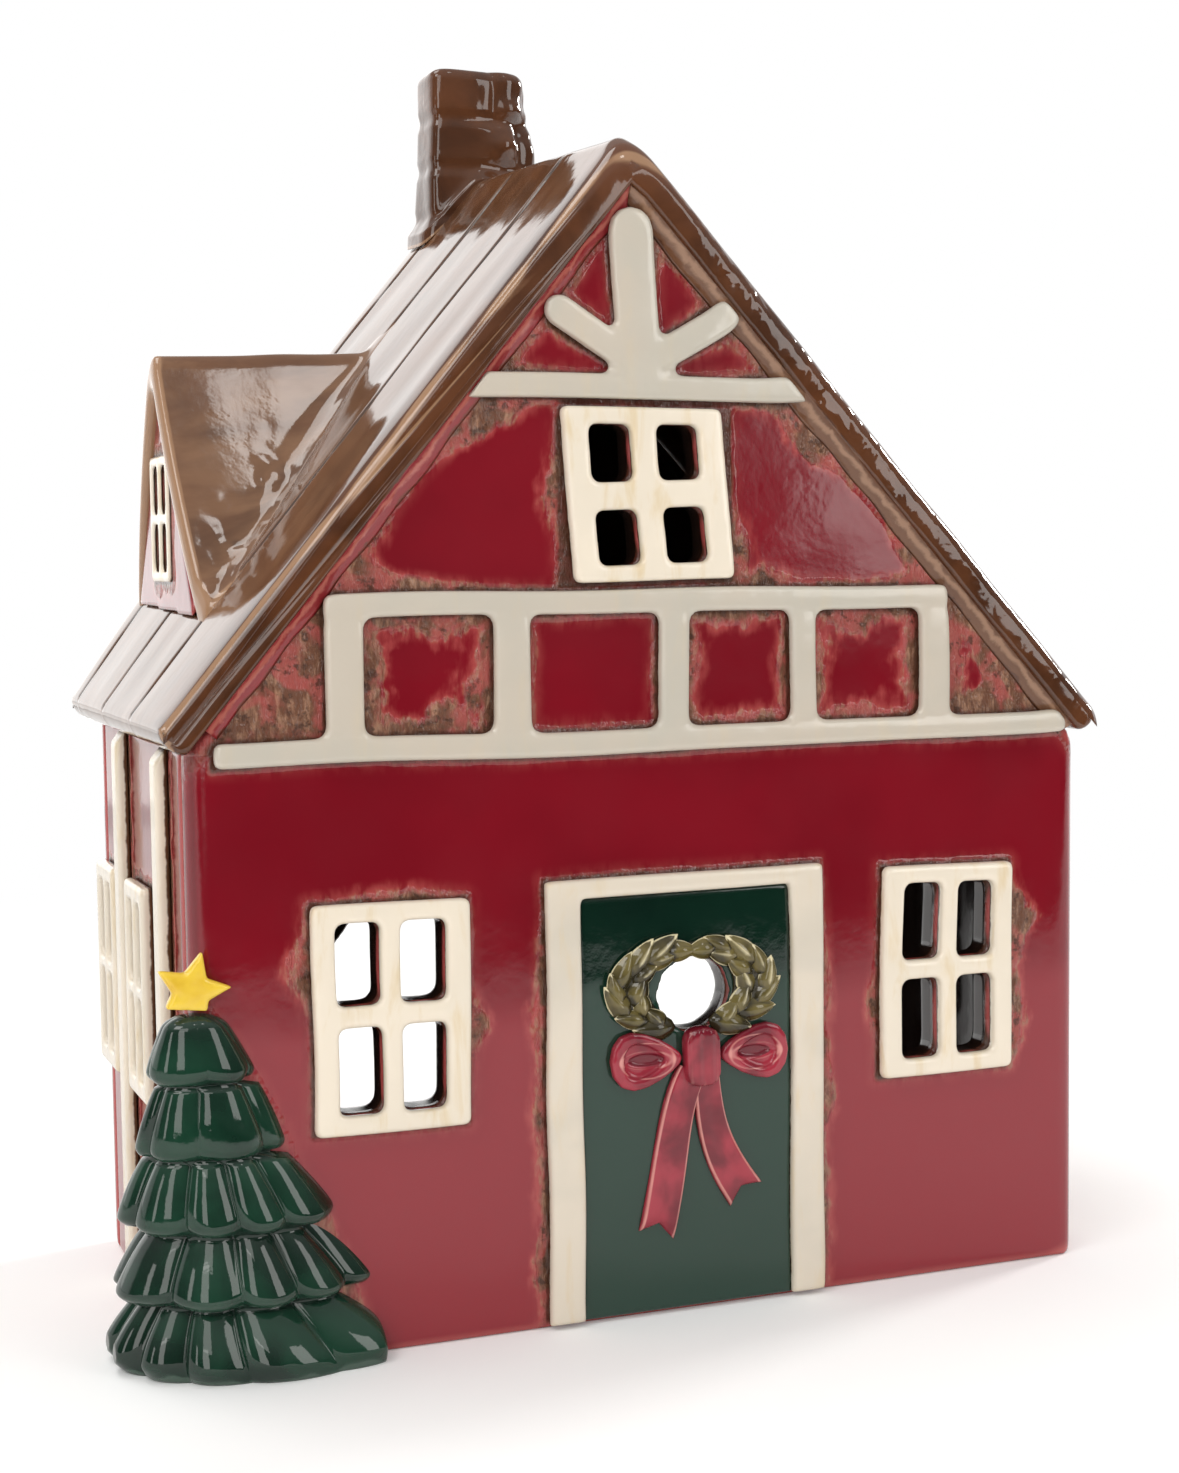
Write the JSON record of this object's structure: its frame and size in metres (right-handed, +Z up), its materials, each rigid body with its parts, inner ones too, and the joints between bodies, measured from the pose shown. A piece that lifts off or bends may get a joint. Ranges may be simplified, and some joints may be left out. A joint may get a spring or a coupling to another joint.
{
  "type": "tealight holder",
  "caption": "Glazed ceramic house for a tealight, with open windows, a gabled dormer, a brick chimney and a fir tree at its corner.",
  "frame": {"origin": "middle of the underside of the floor slab, on the table", "axes": "+Z up, the front door faces -Y, +X is to the right as seen from the front"},
  "size_m": [0.1598, 0.0835, 0.2],
  "materials": {
    "red_glaze": "glossy dark red glaze, breaking brown along edges",
    "brown_glaze": "glossy brown glaze",
    "cream_glaze": "satin cream glaze",
    "green_glaze": "glossy dark green glaze",
    "fir_glaze": "glossy fir green glaze",
    "olive_glaze": "glossy olive and gold glaze",
    "ribbon_glaze": "glossy pinkish red glaze",
    "yellow_glaze": "glossy yellow glaze"
  },
  "bodies": {
    "root": {"attic_window": "cream_glaze", "back_wall": "red_glaze", "bow_knot": "ribbon_glaze", "bow_loop_left": "ribbon_glaze", "bow_loop_right": "ribbon_glaze", "bow_tail_left": "ribbon_glaze", "bow_tail_right": "ribbon_glaze", "chimney": "brown_glaze", "door_frame": "cream_glaze", "door_leaf": "green_glaze", "dormer_gable": "red_glaze", "dormer_roof_far": "brown_glaze", "dormer_roof_near": "brown_glaze", "dormer_window": "cream_glaze", "fir_tree": "fir_glaze", "floor_slab": "brown_glaze", "front_wall": "red_glaze", "lattice_post_1": "cream_glaze", "lattice_post_2": "cream_glaze", "lattice_post_3": "cream_glaze", "lattice_post_4": "cream_glaze", "lattice_post_5": "cream_glaze", "left_wall": "red_glaze", "left_wall_post_front": "cream_glaze", "left_wall_post_rear": "cream_glaze", "left_wall_window_front": "cream_glaze", "left_wall_window_rear": "cream_glaze", "lower_beam": "cream_glaze", "right_wall": "red_glaze", "right_wall_post_front": "cream_glaze", "right_wall_post_rear": "cream_glaze", "right_wall_window_front": "cream_glaze", "right_wall_window_rear": "cream_glaze", "roof_slab_left": "brown_glaze", "roof_slab_right": "brown_glaze", "sunburst": "cream_glaze", "tree_star": "yellow_glaze", "upper_beam": "cream_glaze", "window_left": "cream_glaze", "window_right": "cream_glaze", "wreath": "olive_glaze"}
  },
  "joints": []
}
